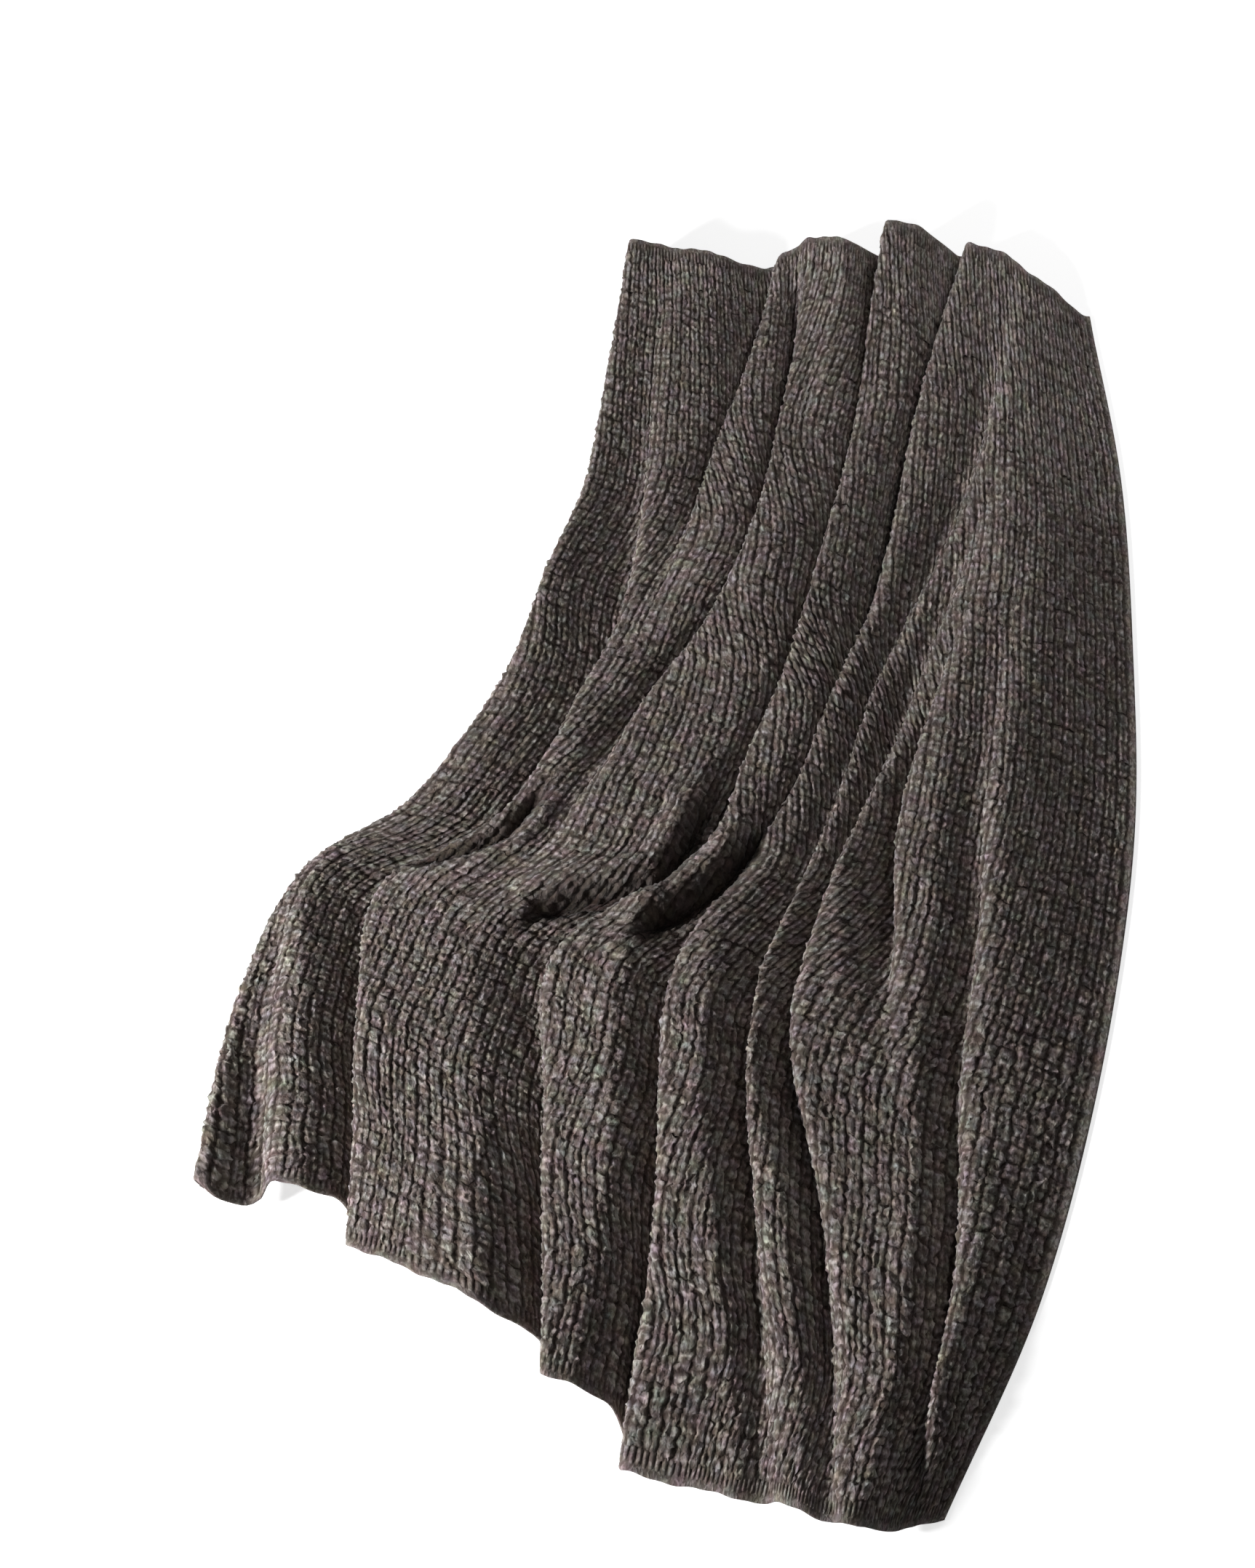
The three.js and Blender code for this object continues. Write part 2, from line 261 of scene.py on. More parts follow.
def rolls_at(rows, x):
    """How far the rolls lift the cloth at places across each row."""
    v = rows["v"][:, None]
    fade = smooth((v - ROLL["from"]) / ROLL["over"]) * smooth((ROLL["to"] - v) / ROLL["over"])
    lift = np.zeros_like(x)
    for j, high in ROLLS:
        aside = (rows["at"][:, j, None] - x) / rows["fall"][:, j, None]
        shape = np.exp(-(((aside - ROLL["aside"]) / ROLL["wide"]) ** 2))
        lift += high * rows["deep"][:, j, None] * shape * fade
    return lift


def slip_at(rows, x):
    """How far the cloth has slid up or down the blanket at places across each row."""
    before, after, at = rows["before"], rows["after"], rows["at"]
    slip = np.repeat(after[:, :1], x.shape[1], axis=1)
    for j in range(1, len(TROUGHS)):
        last = at[:, j - 1, None]
        along = np.clip((x - last) / np.maximum(at[:, j, None] - last, HALF_STRIP), 0, 1)
        step = smooth((x - at[:, j, None] + SLIP["before"]) / SLIP["over"])
        slip = slip + along * (before[:, j] - after[:, j - 1])[:, None]
        slip = slip + step * (after[:, j] - before[:, j])[:, None]
    near_hem = smooth((np.abs(rows["v"] - 0.5) - 0.5 + HEM_REACH) / HEM_REACH)[:, None]
    for height, count, phase in HEM_RIPPLES:
        slip = slip + near_hem * height * np.sin(2 * np.pi * count * x / rows["width"][:, None] + phase)
    return slip


# %% [markdown]
# A row knows how wide the cloth is and how far apart its ends lie, so its folds can only be one
# height: the height that uses up the cloth. It has no formula, so the range that it must be in is
# halved, again and again. Then the places in the row are spread evenly along the cloth, not along
# the floor. That gives every point of the laid cloth its place in the flat one: the UV map.

# %% Lay the cloth: flat places in, folded places out
FINE_STEPS = 1600
HALVINGS = 30
TALLEST_FOLD = 0.2
# Where the ribs start to follow the troughs, over how much of the length, and how closely.
FOLLOW = {"from": 0.78, "over": 0.14, "part": 0.65}


def rib_shares(rows, fine, run, share):
    """Where the ribs lie along each row: carried sideways, and near the hem after the troughs."""
    shares = share + 4 * rows["carry"] * share * (1 - share)
    at_troughs = np.stack([np.interp(rows["at"][i], fine[i], run[i]) for i in range(len(fine))])
    kept = [np.interp(FOLLOW["from"], rows["v"], column) for column in at_troughs.T]
    weight = FOLLOW["part"] * smooth((rows["v"] - FOLLOW["from"]) / FOLLOW["over"])
    for i in range(len(fine)):
        shares[i] += weight[i] * (np.interp(shares[i], kept, at_troughs[i]) - shares[i])
    return shares


def lay_cloth(flat_x, flat_y):
    """Places on the middle of the folded cloth for a grid of places on the flat one."""
    rows = make_rows(flat_y / CLOTH_LENGTH)
    fine = rows["width"][:, None] * np.linspace(0, 1, FINE_STEPS + 1)
    heights = unit_height(rows, fine)
    step, dz, lean = np.diff(fine), np.diff(heights), rows["lean"]
    low, high = np.zeros(len(flat_y)), np.full(len(flat_y), TALLEST_FOLD)
    for _ in range(HALVINGS):
        tall = ((low + high) / 2)[:, None]
        too_long = np.hypot(step - lean * dz * tall, dz * tall).sum(1) > rows["cloth"]
        high = np.where(too_long, tall[:, 0], high)
        low = np.where(too_long, low, tall[:, 0])
    tall = high[:, None]
    pieces = np.hypot(step - lean * dz * tall, dz * tall)
    run = np.concatenate([np.zeros((len(flat_y), 1)), np.cumsum(pieces, 1)], 1)
    run /= run[:, -1:]
    x = np.stack([np.interp(share, run[i], fine[i])
                  for i, share in enumerate(rib_shares(rows, fine, run, flat_x / CLOTH_WIDTH))])

    rolls = rolls_at(rows, x)
    z = unit_height(rows, x) * tall + rolls
    along, slip = x - lean * z + ROLL["push"] * rolls, slip_at(rows, x)
    direction, left = rows["direction"][:, None], rows["left"][:, None]
    place_x = left[..., 0] + along * direction[..., 0] - slip * direction[..., 1]
    place_y = left[..., 1] + along * direction[..., 1] + slip * direction[..., 0]
    return np.stack([place_x - EDGE_MIDDLE.x, place_y - EDGE_MIDDLE.y, z + THICKNESS / 2], -1)


def grid_normals(points):
    """The upward side of a grid of points, at each point."""
    down = np.gradient(points, axis=0)
    across = np.gradient(points, axis=1)
    out = np.cross(down, across)
    return out / np.linalg.norm(out, axis=-1, keepdims=True)


# %% [markdown]
# Where the folds swing round, the cloth tucks under itself in three short creases. Each is a soft
# trough with a roll along one side, and hardly any light gets in, so its shade is also painted onto
# the puckers there. Sculpting could make them, but a line of places is easy to move, and the
# puckers follow it.

# %% The creases where the folds turn
# Each crease: the places it runs through, with the roll on its left, how deep it is, how high the
# roll is, and how wide the crease is.
CREASES = [
    {"through": [(-0.185, -0.12), (-0.16, -0.095), (-0.12, -0.085), (-0.07, -0.075),
                 (-0.025, -0.065), (0, -0.03), (0.025, 0.02), (0.05, 0.075)],
     "deep": 0.035, "roll": 0.016, "wide": 0.009},
    {"through": [(-0.06, -0.135), (-0.03, -0.11), (0.01, -0.09), (0.045, -0.065),
                 (0.07, -0.035), (0.1, 0)],
     "deep": 0.04, "roll": 0.02, "wide": 0.011},
    {"through": [(-0.14, 0.04), (-0.165, 0.02), (-0.195, -0.015), (-0.24, -0.035),
                 (-0.285, -0.045), (-0.325, -0.05)],
     "deep": 0.026, "roll": 0.011, "wide": 0.008},
]
CREASE_STEPS = 60
CREASE_ENDS = 0.25
CREASE_SHADE = 0.95
# Where the roll's top stands and how wide it is, in widths of the crease.
ROLL_ASIDE = 2.2
ROLL_WIDE = 1.5


def crease_places(x, y, crease):
    """How far each place is to a crease's left, in crease widths, and how open it is there."""
    through = np.array(crease["through"])
    stops = np.linspace(0, len(through) - 1, CREASE_STEPS)
    line_x, line_y = (np.interp(stops, np.arange(len(through)), column) for column in through.T)
    nearest = np.argmin((x[..., None] - line_x) ** 2 + (y[..., None] - line_y) ** 2, -1)
    away_x, away_y = x - line_x[nearest], y - line_y[nearest]
    run_x, run_y = np.gradient(line_x)[nearest], np.gradient(line_y)[nearest]
    left = np.sign(run_x * away_y - run_y * away_x)
    aside = left * np.hypot(away_x, away_y) / crease["wide"]
    along = nearest / (CREASE_STEPS - 1)
    return aside, smooth(along / CREASE_ENDS) * smooth((1 - along) / CREASE_ENDS)


def crease_height(x, y, crease):
    """How far one crease lowers or lifts the cloth at each place."""
    aside, opening = crease_places(x, y, crease)
    roll = crease["roll"] * np.exp(-(((aside - ROLL_ASIDE) / ROLL_WIDE) ** 2))
    return (roll - crease["deep"] * np.exp(-(aside ** 2))) * opening


def light_left(x, y):
    """The share of the light that each place keeps: little of it deep in a crease."""
    light = np.ones_like(x)
    for crease in CREASES:
        aside, opening = crease_places(x, y, crease)
        light *= 1 - CREASE_SHADE * np.exp(-(aside ** 2)) * opening
    return light


# %% [markdown]
# ## The ground cloth
#
# Under the puckers lies the tight ground of the weave: one closed thin sheet, low in the middle,
# where the puckers stand on it, and thick and smooth at the edges, where the cloth is doubled.
# A Solidify modifier would make the edge square, so both faces are made here.

# %% The ground cloth's sizes
GROUND_COLUMNS = 250
GROUND_ROWS = 180
SIDE_EDGE = 0.008
HEM_EDGE = 0.006
EDGE_STOPS = [0, 0.0004, 0.0014, 0.003]
GROUND_LEVEL = 0.0002
EDGE_LEVEL = 0.0016
EDGE_BLEND = 0.8

# How far down the cloth each share of the rows reaches: they are closer at the creases.
ROW_SHARES = [0, 0.41, 0.77, 1]
ROW_REACH = [0.81, 1.09]


def spread(length, count, edge, shares=(0, 1), reach=()):
    """Places along one side of the cloth, closer together in the narrow edge at each end."""
    inner = np.interp(np.linspace(0, 1, count), shares, [edge, *reach, length - edge])
    return np.concatenate([EDGE_STOPS, inner, length - np.array(EDGE_STOPS[::-1])])


def sheet_faces(rows, columns):
    """Quads of a grid of points, facing up."""
    index = np.arange(rows * columns).reshape(rows, columns)
    corners = index[:-1, :-1], index[1:, :-1], index[1:, 1:], index[:-1, 1:]
    return np.stack(corners, -1).reshape(-1, 4)


def mesh_object(name, points, faces, uv=None):
    """A smooth mesh from points and faces, with a UV for each point."""
    mesh = bpy.data.meshes.new(name)
    mesh.from_pydata(points.tolist(), [], faces.tolist())
    mesh.shade_smooth()
    if uv is not None:
        layer = mesh.uv_layers.new(name="UVMap")
        corners = np.zeros(len(mesh.loops), int)
        mesh.loops.foreach_get("vertex_index", corners)
        layer.uv.foreach_set("vector", uv[corners].astype(np.float32).ravel())
    return new_object(name, mesh)


def store(piece, name, values):
    """Keeps a number or a vector for each point of a piece."""
    kind, field = ("FLOAT_VECTOR", "vector") if values.shape[-1] == 3 else ("FLOAT", "value")
    layer = piece.data.attributes.new(name, kind, "POINT")
    layer.data.foreach_set(field, values.astype(np.float32).ravel())


# %% Lay the ground cloth on the folds
flat_x = spread(CLOTH_WIDTH, GROUND_COLUMNS, SIDE_EDGE)
flat_y = spread(CLOTH_LENGTH, GROUND_ROWS, HEM_EDGE, ROW_SHARES, ROW_REACH)
middle = lay_cloth(flat_x, flat_y)
creased = sum(crease_height(middle[..., 0], middle[..., 1], crease) for crease in CREASES)
middle[..., 2] = np.maximum(middle[..., 2] + creased, THICKNESS / 2)
out = grid_normals(middle)
flat_uv = np.stack(np.meshgrid(flat_x / CLOTH_WIDTH, flat_y / CLOTH_LENGTH), -1).reshape(-1, 2)
print("the highest fold is", round(middle[..., 2].max(), 4), "m")

# %% The smooth, round edge


def edge_rise(distance, edge):
    """1 at the smooth edge and 0 in the puckered middle."""
    return 1 - smooth((distance - edge * EDGE_BLEND) / (edge * EDGE_BLEND))


# How far each place is from a selvedge, from a hem and from the nearer of the two.
side = np.minimum(flat_x, CLOTH_WIDTH - flat_x)[None, :]
end = np.minimum(flat_y, CLOTH_LENGTH - flat_y)[:, None]
rim = np.minimum(side, end)
roundness = np.sqrt(np.clip(1 - (1 - np.clip(rim / EDGE_STOPS[-1], 0, 1)) ** 2, 0, 1))
raised = np.maximum(edge_rise(side, SIDE_EDGE), edge_rise(end, HEM_EDGE))
level = (GROUND_LEVEL + (EDGE_LEVEL - GROUND_LEVEL) * raised) * roundness
under = THICKNESS / 2 * roundness

# %% Close the upper and the under face into one sheet
upper = middle + out * level[..., None]
lower = middle - out * under[..., None]
lower[..., 2] = np.maximum(lower[..., 2], 0)
upper_faces = sheet_faces(*middle.shape[:2])
shared = (rim == 0).ravel()
lower_index = np.where(shared, np.arange(shared.size), shared.size + np.cumsum(~shared) - 1)
lower_faces = lower_index[upper_faces][:, ::-1]
points = np.concatenate([upper.reshape(-1, 3), lower.reshape(-1, 3)[~shared]])
uv_all = np.concatenate([flat_uv, flat_uv[~shared]])
blanket = mesh_object("ground_cloth", points, np.concatenate([upper_faces, lower_faces]), uv_all)
print("ground cloth:", len(blanket.data.polygons) * 2, "triangles")

# %% [markdown]
# ## The puckers
#
# A pucker is a small pillow of slack cloth, as wide as two ribs. Its two long sides stand up as
# ribs, its middle sags between them, and it is pinched at both ends. Bump in the material would
# be less work, but it looks flat where a fold turns away. So the puckers are real shapes. A few,
# each picked, turned and stretched at random, are enough for thousands. Each shape is one rib,
# which is half a pucker, on a small grid, so that the whole blanket stays light.
#
# The outer rim of a shape lies just under the ground cloth, and each shape is a little larger
# than its place, so neighbours meet in a crease.

# %% Pucker shapes
RIB_PITCH = 0.0078
CELL_PITCH = 0.0212
PUCKER_HEIGHT = 0.0032
RIM_LEVEL = -0.0006

# Where the grid's lines lie: across from the outer rim to past the pucker's middle, and down from
# end to end. The rib's own place runs from -1 to 1 each way.
GRID_ACROSS = [-1.1, -0.6, -0.1, 0.5, 1.2]
GRID_DOWN = [-1.08, -0.88, -0.5, -0.12, 0.12, 0.5, 0.88, 1.08]

# The powers of a rib's outer side and closed ends, how high closed ends are, and over what part
# of the rib's place the middle sags, the ends sink and the crease is wide.
RIB = {"outer_power": 1.6, "closed_power": 3, "closed_level": 0.9, "sags_over": 1.15,
       "ends_from": 0.5, "ends_over": 0.58, "crease_wide": 0.25}
PLEAT = {"high": 0.72, "side_power": 2.4, "end_power": 6}

# Each shape: the level of its sagging middle, how far the ends close it, how deep it is pinched
# at its ends, how deep a crease it has across, and where. A straight rib runs on into the next.
PUCKER_SHAPES = {
    "pucker_a": (0.5, 0.7, 0.6, 0.35, 0.0),
    "pucker_b": (0.25, 1.0, 0.5, 0.4, 0.1),
    "pucker_c": (0.65, 0.4, 0.75, 0.4, 0.2),
    "pucker_d": (0.4, 0.0, 0.25, 0.2, 0.0),
    "pucker_e": (0.4, 1.0, 0.65, 0.5, -0.1),
    "pucker_f": (0.1, 0.9, 0.45, 0.35, 0.0),
}
STRAIGHT_RIB = (0.4, 0, 0.2, 0, 0)

# The same for the skirt, where the slack cloth stands up in short fat knobs.
SKIRT_SHAPES = {
    "cell_a": (0.6, 0.8, 0.6, 0.4, 0.0),
    "cell_b": (0.3, 0.9, 0.55, 0.45, 0.08),
    "cell_c": (0.85, 0.7, 0.7, 0.35, -0.08),
    "cell_d": (0.5, 0.5, 0.4, 0.3, 0.0),
}


def half_pucker(across, down, shape):
    """Height of one rib of a pucker, from 0 at its outer rim to 1."""
    level, closed, pinch, crease_deep, crease_at = shape
    outer = 1 - np.clip(-across, 0, 1) ** RIB["outer_power"]
    middle = level + (RIB["closed_level"] - level) * closed * np.abs(down) ** RIB["closed_power"]
    inner = 1 - (1 - middle) * smooth(across / RIB["sags_over"])
    ends = 1 - pinch * smooth((np.abs(down) - RIB["ends_from"]) / RIB["ends_over"])
    crease = 1 - crease_deep * np.exp(-(((down - crease_at) / RIB["crease_wide"]) ** 2))
    return outer * inner * ends * crease


def hem_rib(across, down):
    """Height of one of the fine pleats beside a hem."""
    sides = 1 - np.abs(across) ** PLEAT["side_power"]
    return PLEAT["high"] * sides * (1 - np.abs(down) ** PLEAT["end_power"])


# %% Make the shapes, and keep them out of sight


def make_shape(name, pitch, length, across, down, crown):
    """One template: a small grid with its crown stored on it."""
    z = RIM_LEVEL + (PUCKER_HEIGHT - RIM_LEVEL) * crown
    points = np.stack([across * pitch / 2, -down * length / 2, z], -1).reshape(-1, 3)
    shape = mesh_object(name, points, sheet_faces(*crown.shape))
    store(shape, "crown", crown.ravel())
    return shape


def pucker_shape(name, shape):
    """The template of one rib of a pucker."""
    across, down = np.meshgrid(GRID_ACROSS, GRID_DOWN)
    return make_shape(name, RIB_PITCH, CELL_PITCH, across, down, half_pucker(across, down, shape))


def make_collection(name, shapes):
    """A collection that the node tree picks from. It isn't linked, so none of it shows."""
    collection = bpy.data.collections.new(name)
    for shape in shapes:
        bpy.context.scene.collection.objects.unlink(shape)
        collection.objects.link(shape)
    return collection


pucker_shapes = [pucker_shape(name, shape) for name, shape in PUCKER_SHAPES.items()]
skirt_shapes = [pucker_shape(name, shape) for name, shape in SKIRT_SHAPES.items()]
rib_shape = pucker_shape("straight_rib", STRAIGHT_RIB)
pucker_kinds = make_collection("pucker_kinds", [*pucker_shapes, rib_shape])
skirt_kinds = make_collection("skirt_kinds", skirt_shapes)

HEM_RIB_PITCH = 0.0064
HEM_RIB_LENGTH = 0.02
HEM_RIB_MARGIN = 0.004
HEM_OVERLAP = 1.1
HEM_GRID = np.meshgrid(np.linspace(-1, 1, 5), np.linspace(-1, 1, 6))
hem_shape = make_shape("hem_rib", HEM_RIB_PITCH * HEM_OVERLAP, HEM_RIB_LENGTH * HEM_OVERLAP,
                       *HEM_GRID, hem_rib(*HEM_GRID))
hem_kinds = make_collection("hem_kinds", [hem_shape])
print(len(PUCKER_SHAPES), "kinds of pucker,", len(rib_shape.data.polygons), "quads each")

# %% [markdown]
# ## From the flat cloth to the folded one
#
# The node tree works on the flat cloth first: it sets out points in ribs and rows, puts a pucker
# on each, and makes the ribs wander a little. Only then does it look up, by UV, where each point
# of the flat cloth lies on the folded one. Scattering puckers on the folded cloth would be one
# step less, but they would lose their rows and would not bend with the folds.

# %% Short ways to add nodes


def add_node(tree, kind, inputs=None, **settings):
    """A node with its settings, and its inputs linked or set."""
    node = tree.nodes.new(kind)
    for name, value in settings.items():
        setattr(node, name, value)
    for key, value in (inputs or {}).items():
        if isinstance(value, bpy.types.NodeSocket):
            tree.links.new(value, node.inputs[key])
        else:
            node.inputs[key].default_value = value
    return node


def output(tree, kind, inputs=None, **settings):
    """The first output of a new node."""
    return add_node(tree, kind, inputs, **settings).outputs[0]


def calc(tree, operation, *values):
    """The output of a Math node."""
    return output(tree, "ShaderNodeMath", dict(enumerate(values)), operation=operation)


def vector_calc(tree, operation, *values):
    """The output of a Vector Math node."""
    return output(tree, "ShaderNodeVectorMath", dict(enumerate(values)), operation=operation)


def scaled(tree, vector, number):
    """A vector times a number."""
    return output(tree, "ShaderNodeVectorMath", {0: vector, "Scale": number}, operation="SCALE")


def combine(tree, x, y, z):
    """The output of a Combine XYZ node."""
    return output(tree, "ShaderNodeCombineXYZ", {0: x, 1: y, 2: z})


def separate(tree, vector):
    """The three outputs of a Separate XYZ node."""
    return add_node(tree, "ShaderNodeSeparateXYZ", {0: vector}).outputs


def map_range(tree, value, low, high, to_low=0.0, to_high=1.0):
    """The output of a Map Range node with soft ends."""
    inputs = {0: value, 1: low, 2: high, 3: to_low, 4: to_high}
    return output(tree, "ShaderNodeMapRange", inputs, interpolation_type="SMOOTHSTEP")


def noise(tree, vector, scale, detail, **settings):
    """A Noise Texture node."""
    inputs = {"Vector": vector, "Scale": scale, "Detail": detail, **settings}
    return add_node(tree, "ShaderNodeTexNoise", inputs)


def centred(tree, texture):
    """A noise's colour, as a vector around zero."""
    return vector_calc(tree, "SUBTRACT", texture.outputs["Color"], (0.5, 0.5, 0.5))


def random_between(tree, low, high, seed, **item):
    """A random number for each point, or for each value of ID."""
    inputs = {2: low, 3: high, "Seed": seed, **item}
    return add_node(tree, "FunctionNodeRandomValue", inputs).outputs[1]


def stored(tree, name, kind):
    """What the mesh has stored under a name."""
    return output(tree, "GeometryNodeInputNamedAttribute", {"Name": name}, data_type=kind)


def keep(tree, geometry, name, value, kind, domain):
    """The geometry with a value stored under a name."""
    inputs = {"Geometry": geometry, "Name": name, "Value": value}
    return output(tree, "GeometryNodeStoreNamedAttribute", inputs, data_type=kind, domain=domain)


def new_tree(name, kind, inputs, outputs):
    """A node tree with named inputs and outputs, and its inputs' sockets."""
    tree = bpy.data.node_groups.new(name, kind)
    for label, sort, value in inputs:
        socket = tree.interface.new_socket(label, in_out="INPUT", socket_type="NodeSocket" + sort)
        if value is not None:
            socket.default_value = value
    for label, sort in outputs:
        tree.interface.new_socket(label, in_out="OUTPUT", socket_type="NodeSocket" + sort)
    return tree, add_node(tree, "NodeGroupInput").outputs


# %% First, points in ribs and rows on the flat cloth
# How far a rib leaves its line, and a pucker its row, in ribs and rows.
SWAY = 0.06
WANDER = 0.08


def set_out(tree, given):
    """A point for each half pucker, with the numbers of its rib and its pucker."""
    index = output(tree, "GeometryNodeInputIndex")
    rib = calc(tree, "MODULO", index, given["Ribs"])
    row = calc(tree, "FLOOR", calc(tree, "DIVIDE", index, given["Ribs"]))
    row = calc(tree, "ADD", row, given["First Row"])
    pair = calc(tree, "FLOOR", calc(tree, "DIVIDE", rib, 2.0))
    pucker = calc(tree, "MULTIPLY_ADD", row, given["Ribs"], pair)
    loose = random_between(tree, -1.0, 1.0, 11, ID=pair)
    shift = calc(tree, "MULTIPLY", loose, given["Stagger"])
    wander = random_between(tree, -WANDER, WANDER, 12, ID=pucker)
    row_at = calc(tree, "ADD", calc(tree, "ADD", row, 0.5), calc(tree, "ADD", shift, wander))
    sway = calc(tree, "MULTIPLY", random_between(tree, -SWAY, SWAY, 13), given["Unevenness"])
    rib_at = calc(tree, "ADD", calc(tree, "ADD", rib, 0.5), sway)
    flat_x = calc(tree, "MULTIPLY_ADD", rib_at, given["Rib Pitch"], given["Side Margin"])
    flat_y = calc(tree, "MULTIPLY_ADD", row_at, given["Cell Pitch"], given["Top Margin"])
    points = output(tree, "GeometryNodePoints", {
        "Count": calc(tree, "MULTIPLY", given["Ribs"], given["Rows"]),
        "Position": combine(tree, flat_x, flat_y, 0.0),
    })
    return points, rib, pucker


# %% Then a pucker on each point
# Where the cloth is pulled tight, near the top, the ribs run straight. Two inputs say how far
# down that reaches, at the left and at the right.
STRAIGHT_CHANGES = CLOTH_WIDTH * 0.6
RAGGED = 0.03
ALMOST_ONE = 0.9999


def pick_kind(tree, given, pucker):
    """The number of a shape for each pucker. The straight rib comes after the puckers."""
    flat_place = separate(tree, output(tree, "GeometryNodeInputPosition"))
    reach = map_range(tree, flat_place[0], STRAIGHT_CHANGES, CLOTH_WIDTH,
                      given["Straight Left"], given["Straight Right"])
    reach = calc(tree, "ADD", reach, random_between(tree, -RAGGED, RAGGED, 28))
    pulled = calc(tree, "LESS_THAN", flat_place[1], reach)
    chance = random_between(tree, 0.0, ALMOST_ONE, 26, ID=pucker)
    picked = calc(tree, "FLOOR", calc(tree, "MULTIPLY", chance, given["Pucker Kinds"]))
    loose_kind = calc(tree, "MULTIPLY", picked, calc(tree, "SUBTRACT", 1.0, pulled))
    return calc(tree, "ADD", loose_kind, calc(tree, "MULTIPLY", given["Pucker Kinds"], pulled))


# How far a pucker may be turned, and stretched across, along and upwards, with a seed for each.
TILT = 0.06
STRETCHES = ((-0.05, 0.05, 23), (-0.04, 0.1, 24), (-0.3, 0.2, 25))


def sew(tree, given, points, rib, pucker):
    """A pucker on each point: every second one turned round, each with a tone of its own."""
    kinds = output(tree, "GeometryNodeCollectionInfo", {
        "Collection": given["Kinds"], "Separate Children": True, "Reset Children": True,
    })
    turned = calc(tree, "MULTIPLY", calc(tree, "MODULO", rib, 2.0), math.pi)
    tilt = calc(tree, "MULTIPLY", random_between(tree, -TILT, TILT, 22), given["Unevenness"])
    stretch = []
    for low, high, seed in STRETCHES:
        more = random_between(tree, low, high, seed, ID=pucker)
        stretch.append(calc(tree, "ADD", 1.0, calc(tree, "MULTIPLY", more, given["Unevenness"])))
    puckers = output(tree, "GeometryNodeInstanceOnPoints", {
        "Points": points,
        "Instance": kinds,
        "Pick Instance": True,
        "Instance Index": pick_kind(tree, given, pucker),
        "Rotation": combine(tree, 0.0, 0.0, calc(tree, "ADD", turned, tilt)),
        "Scale": combine(tree, *stretch),
    })
    toned = keep(tree, puckers, "tone", random_between(tree, 0.0, 1.0, 27), "FLOAT", "INSTANCE")
    return output(tree, "GeometryNodeRealizeInstances", {"Geometry": toned})


# %% Then drifts, which the ribs follow together, and small wrinkles
DRIFTS_PER_METRE = 14.0
DRIFT_SIZE = (0.008, 0.012, 0.0)
# The wrinkles push the puckers about and run over them, mostly down the cloth.
WRINKLES_PER_METRE = (160, 140, 0)
WRINKLE_SIZE = (0.008, 0.009, 0.0065)
WRINKLE_CROWN = 1.1


def wrinkle(tree, given, flat, place):
    """Puckers moved a little, and their crowns raised or lowered."""
    drift = centred(tree, noise(tree, place, DRIFTS_PER_METRE, 1.5))
    drift = vector_calc(tree, "MULTIPLY", drift, DRIFT_SIZE)
    wrinkles = noise(tree, vector_calc(tree, "MULTIPLY", place, WRINKLES_PER_METRE), 1.0, 1.0)
    pushed = vector_calc(tree, "MULTIPLY", centred(tree, wrinkles), WRINKLE_SIZE)
    moved = scaled(tree, vector_calc(tree, "ADD", drift, pushed), given["Unevenness"])
    # The wrinkles also raise or lower the crowns, which moves the painted shade and highlight over
    # them.
    raised = calc(tree, "SUBTRACT", wrinkles.outputs[0], 0.5)
    raised = calc(tree, "MULTIPLY", raised, WRINKLE_CROWN)
    crown = calc(tree, "ADD", stored(tree, "crown", "FLOAT"), raised)
    flat = keep(tree, flat, "crown", crown, "FLOAT", "POINT")
    return output(tree, "GeometryNodeSetPosition", {"Geometry": flat, "Offset": moved})


# %% Last, from the flat cloth to the folded one


def carry_to_folds(tree, given, flat, place):
    """Each point of the flat cloth, found by its UV on the folded one and lifted off it."""
    parts = separate(tree, place)
    u, v = calc(tree, "DIVIDE", parts[0], CLOTH_WIDTH), calc(tree, "DIVIDE", parts[1], CLOTH_LENGTH)
    uv = combine(tree, u, v, 0.0)
    flat = keep(tree, flat, "UVMap", uv, "FLOAT2", "CORNER")
    cloth_uv, cloth_out = (stored(tree, name, "FLOAT_VECTOR") for name in ("UVMap", "out"))
    on_cloth, out_of_cloth = (
        output(tree, "GeometryNodeSampleUVSurface", {
            "Mesh": given["Geometry"], "Value": value, "UV Map": cloth_uv, "Sample UV": uv,
        }, data_type="FLOAT_VECTOR")
        for value in (place, cloth_out)
    )
    laid = vector_calc(tree, "ADD", on_cloth, scaled(tree, out_of_cloth, parts[2]))
    return output(tree, "GeometryNodeSetPosition", {"Geometry": flat, "Position": laid})


# %% The whole tree, and a piece made by it
TREE_INPUTS = [
    ("Geometry", "Geometry", None), ("Kinds", "Collection", None), ("Material", "Material", None),
    ("Ribs", "Int", 1), ("First Row", "Int", 0), ("Rows", "Int", 1),
    ("Side Margin", "Float", 0.0), ("Top Margin", "Float", 0.0),
    ("Rib Pitch", "Float", RIB_PITCH), ("Cell Pitch", "Float", CELL_PITCH),
    ("Stagger", "Float", 0.0), ("Unevenness", "Float", 1.0),
    ("Pucker Kinds", "Int", len(PUCKER_SHAPES)),
    ("Straight Left", "Float", -1.0), ("Straight Right", "Float", -1.0),
]
TREE_OUTPUTS = [("Geometry", "Geometry")]


